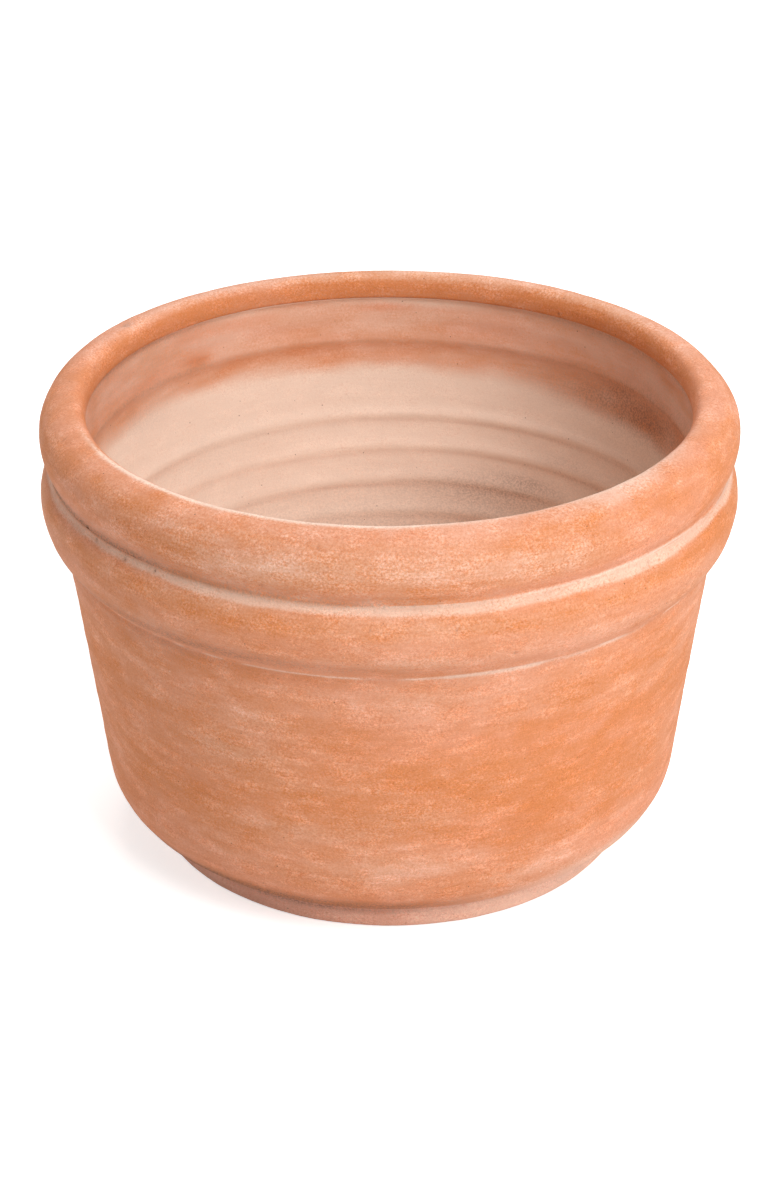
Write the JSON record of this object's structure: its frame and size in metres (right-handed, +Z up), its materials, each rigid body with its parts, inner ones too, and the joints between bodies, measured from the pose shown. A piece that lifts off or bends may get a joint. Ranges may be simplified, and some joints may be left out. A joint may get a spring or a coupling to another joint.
{
  "type": "terracotta pot",
  "caption": "Low round fired-clay plant pot with a rolled rim, a raised band under it, a rounded heel, a turned foot ring and a central drainage hole.",
  "frame": {"origin": "centre of the plane that the foot ring rests on", "axes": "+Z up along the axis the pot is turned about; X and Y are alike, and -Y is taken as the front"},
  "size_m": [0.301, 0.301, 0.2055],
  "materials": {
    "clay_body": "matte unglazed terracotta, orange with pale pink scum streaks",
    "clay_rim": "matte unglazed terracotta, peach orange, rubbed paler along the lip",
    "clay_foot": "matte unglazed terracotta, dusty pink where it has been turned",
    "clay_inside": "matte unglazed terracotta, pale beige bloom over orange"
  },
  "bodies": {
    "root": {"floor_slab": "clay_inside", "wall": "clay_body", "foot_ring": "clay_foot", "raised_band": "clay_body", "rim_roll": "clay_rim"}
  },
  "joints": []
}
